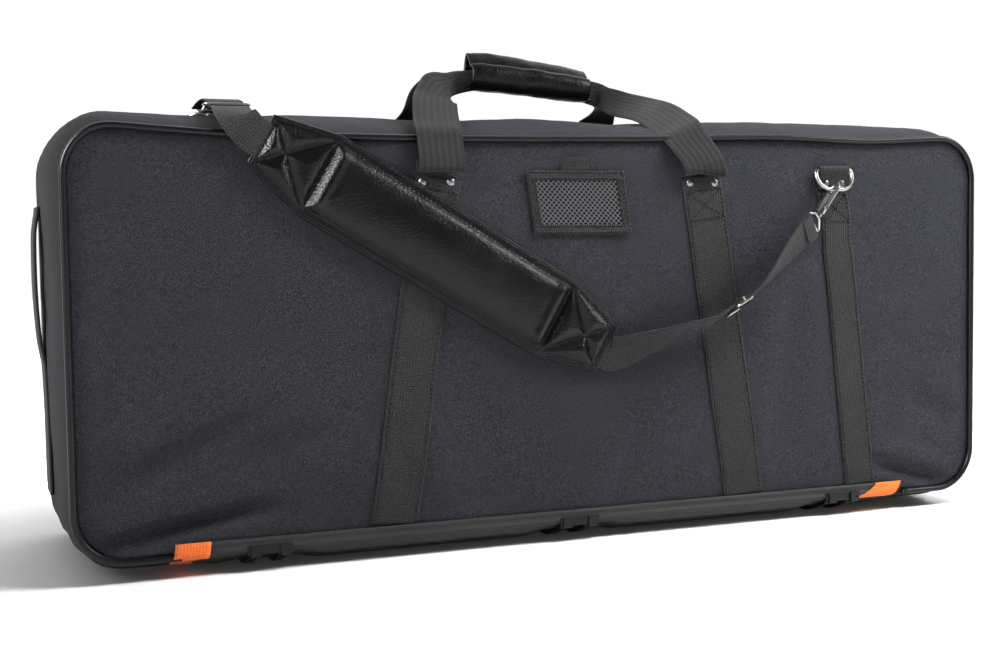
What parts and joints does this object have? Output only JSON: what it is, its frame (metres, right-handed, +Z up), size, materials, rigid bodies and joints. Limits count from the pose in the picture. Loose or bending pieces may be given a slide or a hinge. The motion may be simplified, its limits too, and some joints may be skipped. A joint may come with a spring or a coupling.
{
  "type": "telescope carry case",
  "caption": "Long padded rectangular carry case with rounded corners, piped edges, twin web handles with a wrapped grip, slanted shoulder strap with pad, and a zipped hinged lid.",
  "frame": {"origin": "on the floor under the middle of the box round the case and its strap hardware", "axes": "+X along the case to the right seen from the front, +Y from the front face to the lid, +Z up"},
  "size_m": [1.1156, 0.3471, 0.5438],
  "materials": {
    "shell_fabric": "fine woven, matt",
    "base_coating": "smooth coated, satin",
    "webbing": "ribbed, matt",
    "foam": "closed-cell, matt",
    "lining": "brushed",
    "stiffener": "matt",
    "piping": "satin",
    "zip_tape": "matt",
    "zip_coil": "satin",
    "nickel": "bright",
    "rivet_metal": "satin",
    "leatherette": "glossy, pebbled",
    "orange_trim": "woven, matt",
    "runner_plastic": "matt",
    "mesh": "open mesh",
    "card": "smooth"
  },
  "bodies": {
    "case": {"gusset": "shell_fabric", "front_panel": "shell_fabric", "base_panel": "base_coating", "base_board": "stiffener", "top_foam": "foam", "base_foam": "foam", "left_foam": "foam", "right_foam": "foam", "corner_bolsters": "foam", "front_foam": "foam", "front_lining": "lining", "tray_lining": "lining", "front_piping": "piping", "zip_tape_tray": "zip_tape", "zip_coil_tray": "zip_coil", "front_straps": "webbing", "rear_straps": "webbing", "front_risers": "webbing", "rear_risers": "webbing", "end_handles": "webbing", "ring_strap_front": "webbing", "ring_tab_rear": "webbing", "rivets": "rivet_metal", "id_pocket": "webbing", "id_mesh": "mesh", "orange_strips": "orange_trim", "skid_runners": "runner_plastic", "pad_backing": "webbing", "pad_foam": "foam", "pad_cover": "leatherette", "strap_front_run": "webbing", "strap_rear_run": "webbing", "tie_straps": "webbing"},
    "lid": {"lid_band": "shell_fabric", "lid_panel": "shell_fabric", "lid_foam": "foam", "lid_lining": "lining", "rear_piping": "piping", "zip_tape_lid": "zip_tape", "zip_coil_lid": "zip_coil"},
    "zip_left": {"zip_slider_left": "nickel"},
    "zip_right": {"zip_slider_right": "nickel"},
    "pull_left": {"zip_pull_left": "nickel"},
    "pull_right": {"zip_pull_right": "nickel"},
    "carry_handle": {"grip_webbing": "webbing", "grip_wrap": "leatherette"},
    "handle_flap": {"grip_flap": "leatherette"},
    "name_card": {"id_card": "card", "id_pull_tab": "webbing"},
    "front_ring": {"d_ring_front": "nickel", "front_eye": "nickel"},
    "front_snap": {"front_hook": "nickel"},
    "front_latch": {"front_gate": "nickel"},
    "rear_ring": {"d_ring_rear": "nickel", "rear_eye": "nickel"},
    "rear_snap": {"rear_hook": "nickel"},
    "rear_latch": {"rear_gate": "nickel"},
    "front_glide": {"tri_glide_front": "nickel"},
    "rear_glide": {"tri_glide_rear": "nickel"},
    "divider": {"divider": "foam"}
  },
  "joints": [
    {"name": "lid_hinge", "type": "hinge", "parent": "case", "child": "lid", "pos_m": [0, 0.168, 0.016], "axis": [-1, 0, 0], "range_deg": [0, 90]},
    {"name": "zip_run_left", "type": "slide", "parent": "case", "child": "zip_left", "axis": [-1, 0, 0], "range_m": [0, 0.42]},
    {"name": "zip_run_right", "type": "slide", "parent": "case", "child": "zip_right", "axis": [1, 0, 0], "range_m": [0, 0.42]},
    {"name": "pull_flip_left", "type": "hinge", "parent": "zip_left", "child": "pull_left", "pos_m": [-0.04, 0.146, 0.4546], "axis": [0, 1, 0], "range_deg": [0, 150]},
    {"name": "pull_flip_right", "type": "hinge", "parent": "zip_right", "child": "pull_right", "pos_m": [0.04, 0.146, 0.4546], "axis": [0, -1, 0], "range_deg": [0, 150]},
    {"name": "carry_handle_drop", "type": "slide", "parent": "case", "child": "carry_handle", "axis": [0, 0, -1], "range_m": [0, 0.022], "deforming": ["front_risers", "rear_risers"]},
    {"name": "grip_flap_open", "type": "hinge", "parent": "carry_handle", "child": "handle_flap", "pos_m": [0.00114, 0.0008, 0.53346], "axis": [-0.9969, 0, 0.0785], "range_deg": [0, 110]},
    {"name": "name_card_slide", "type": "slide", "parent": "case", "child": "name_card", "axis": [0, 0, 1], "range_m": [0, 0.02]},
    {"name": "front_ring_swing", "type": "hinge", "parent": "case", "child": "front_ring", "pos_m": [0.325, -0.1372, 0.404], "axis": [-1, 0, 0], "range_deg": [0, 25], "deforming": ["strap_front_run"]},
    {"name": "rear_ring_swing", "type": "hinge", "parent": "case", "child": "rear_ring", "pos_m": [-0.352, 0.11, 0.465], "axis": [-1, 0, 0], "range_deg": [0, 25], "deforming": ["strap_rear_run"]},
    {"name": "front_snap_swivel", "type": "hinge", "parent": "front_ring", "child": "front_snap", "pos_m": [0.30336, -0.1455, 0.35754], "axis": [0.6215, 0.0501, 0.7818], "range_deg": [-8, 8]},
    {"name": "front_gate_press", "type": "hinge", "parent": "front_snap", "child": "front_latch", "pos_m": [0.30876, -0.13906, 0.36435], "axis": [0.7828, 0, -0.6222], "range_deg": [0, 22], "stiffness_Nm_per_rad": 0.02},
    {"name": "rear_snap_swivel", "type": "hinge", "parent": "rear_ring", "child": "rear_snap", "pos_m": [-0.3514, 0.05753, 0.4743], "axis": [-0.02, 0.999, 0.04], "range_deg": [-8, 8]},
    {"name": "rear_gate_press", "type": "hinge", "parent": "rear_snap", "child": "rear_latch", "pos_m": [-0.35159, 0.06676, 0.46867], "axis": [0.9998, 0.02, 0], "range_deg": [0, 22], "stiffness_Nm_per_rad": 0.02},
    {"name": "rear_glide_slide", "type": "slide", "parent": "case", "child": "rear_glide", "axis": [0.064, 0.9977, 0.0217], "range_m": [0, 0.015]},
    {"name": "front_glide_slide", "type": "slide", "parent": "case", "child": "front_glide", "axis": [0.8842, 0, 0.4671], "range_m": [-0.012, 0.012]},
    {"name": "divider_shift", "type": "slide", "parent": "case", "child": "divider", "axis": [1, 0, 0], "range_m": [-0.15, 0.15]}
  ]
}
